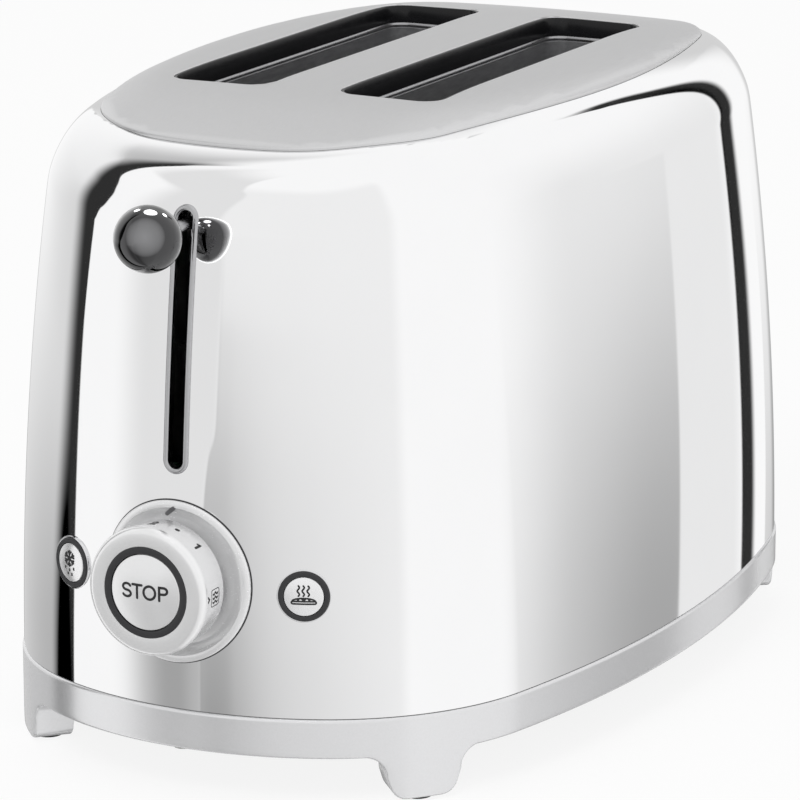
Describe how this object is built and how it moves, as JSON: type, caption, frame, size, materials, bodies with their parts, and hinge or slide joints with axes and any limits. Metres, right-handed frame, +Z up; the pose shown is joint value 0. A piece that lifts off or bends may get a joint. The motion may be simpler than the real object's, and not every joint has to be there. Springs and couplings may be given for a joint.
{
  "type": "retro toaster",
  "caption": "Retro slot toaster with a bellied polished casing, a ball-knob lever, a browning dial with a stop button, side buttons, spring lift, closing bread guides and a crumb tray.",
  "frame": {"origin": "under the middle of the whole toaster, ball knob and tray lip included, on the table", "axes": "+Z up, +Y along the long axis to the tray end, -Y to the end with the lever, the dial and the buttons"},
  "size_m": [0.1856, 0.3248, 0.1934],
  "materials": {
    "polished_steel": "mirror-polished stainless steel",
    "satin_steel": "satin brushed stainless steel",
    "black_enamel": "gloss black enamel",
    "collar_steel": "dulled steel sheet with a bright rolled edge",
    "satin_silver": "satin silver cast alloy",
    "black_moulding": "matt black moulding",
    "black_rubber": "black rubber",
    "screw_steel": "zinc-plated steel",
    "tray_steel": "plain steel sheet",
    "chamber_steel": "galvanised steel sheet",
    "bright_sheet": "bright aluminised sheet",
    "mica": "pale grey-brown mica board",
    "heater_strip": "dull nickel-chrome strip",
    "bright_wire": "bright plated wire",
    "chrome_plate": "chrome plate",
    "spring_steel": "spring steel",
    "soft_iron": "soft iron",
    "copper_winding": "enamelled copper winding",
    "bezel_steel": "turned satin steel",
    "dial_silver": "satin silver",
    "dark_ring": "dark grey plastic",
    "circuit_board": "green circuit board",
    "spacer_nylon": "white nylon"
  },
  "bodies": {
    "toaster": {"bagel_ring": "dark_ring", "base_plate": "black_moulding", "base_screws": "screw_steel", "base_skirt": "satin_silver", "board_screws": "screw_steel", "board_spacers": "spacer_nylon", "button_switches": "black_moulding", "casing": "polished_steel", "centre_shield": "bright_sheet", "chamber_collar_left": "collar_steel", "chamber_collar_right": "collar_steel", "control_board": "circuit_board", "cord_gland": "black_rubber", "defrost_ring": "dark_ring", "dial_bezel": "bezel_steel", "element_board_left_inner": "mica", "element_board_left_outer": "mica", "element_board_right_inner": "mica", "element_board_right_outer": "mica", "element_wire_left_inner": "heater_strip", "element_wire_left_outer": "heater_strip", "element_wire_right_inner": "heater_strip", "element_wire_right_outer": "heater_strip", "foot_pads": "black_rubber", "front_bulkhead": "chamber_steel", "guide_rods": "chrome_plate", "lever_slot_trim": "chrome_plate", "magnet_coil": "copper_winding", "magnet_core": "soft_iron", "potentiometer": "black_moulding", "rear_bulkhead": "chamber_steel", "return_spring": "spring_steel", "side_shield_left": "bright_sheet", "side_shield_right": "bright_sheet", "slot_liner_left": "black_enamel", "slot_liner_right": "black_enamel", "terminal_block": "black_moulding", "top_plate": "satin_steel"},
    "lift": {"carriage": "chamber_steel", "armature": "soft_iron", "lever_stem": "chrome_plate", "lever_knob": "chrome_plate", "bread_rack_left": "bright_wire", "bread_rack_right": "bright_wire"},
    "guide_left_outer": {"bread_guide_left_outer": "bright_wire"},
    "guide_left_inner": {"bread_guide_left_inner": "bright_wire"},
    "guide_right_outer": {"bread_guide_right_outer": "bright_wire"},
    "guide_right_inner": {"bread_guide_right_inner": "bright_wire"},
    "browning_dial": {"dial": "dial_silver", "stop_ring": "dark_ring"},
    "stop_push": {"stop_button": "dial_silver"},
    "defrost_push": {"defrost_button": "dial_silver"},
    "bagel_push": {"bagel_button": "dial_silver"},
    "tray": {"crumb_tray": "tray_steel", "tray_handle": "satin_silver"}
  },
  "joints": [
    {"name": "lever_slide", "type": "slide", "parent": "toaster", "child": "lift", "axis": [0, 0, 1], "range_m": [-0.065, 0], "stiffness_N_per_m": 80, "springref_m": 0.05, "deforming": ["return_spring"]},
    {"name": "guide_left_outer_slide", "type": "slide", "parent": "toaster", "child": "guide_left_outer", "axis": [1, 0, 0], "range_m": [0, 0.008]},
    {"name": "guide_left_inner_slide", "type": "slide", "parent": "toaster", "child": "guide_left_inner", "axis": [-1, 0, 0], "range_m": [0, 0.008]},
    {"name": "guide_right_outer_slide", "type": "slide", "parent": "toaster", "child": "guide_right_outer", "axis": [-1, 0, 0], "range_m": [0, 0.008]},
    {"name": "guide_right_inner_slide", "type": "slide", "parent": "toaster", "child": "guide_right_inner", "axis": [1, 0, 0], "range_m": [0, 0.008]},
    {"name": "dial_turn", "type": "hinge", "parent": "toaster", "child": "browning_dial", "pos_m": [0, -0.1412, 0.0646], "axis": [0, 1, 0], "range_deg": [-92, 200]},
    {"name": "stop_press", "type": "slide", "parent": "toaster", "child": "stop_push", "axis": [0, 1, 0], "range_m": [0, 0.002], "stiffness_N_per_m": 400, "springref_m": -0.002},
    {"name": "defrost_press", "type": "slide", "parent": "toaster", "child": "defrost_push", "axis": [0.3795, 0.9252, 0], "range_m": [0, 0.0016], "stiffness_N_per_m": 400, "springref_m": -0.002},
    {"name": "bagel_press", "type": "slide", "parent": "toaster", "child": "bagel_push", "axis": [-0.3795, 0.9252, 0], "range_m": [0, 0.0016], "stiffness_N_per_m": 400, "springref_m": -0.002},
    {"name": "tray_slide", "type": "slide", "parent": "toaster", "child": "tray", "axis": [0, 1, 0], "range_m": [0, 0.2]}
  ],
  "couplings": [
    {"joint": "guide_left_outer_slide", "follows": "lever_slide", "ratio": -0.123},
    {"joint": "guide_left_inner_slide", "follows": "lever_slide", "ratio": -0.123},
    {"joint": "guide_right_outer_slide", "follows": "lever_slide", "ratio": -0.123},
    {"joint": "guide_right_inner_slide", "follows": "lever_slide", "ratio": -0.123}
  ]
}
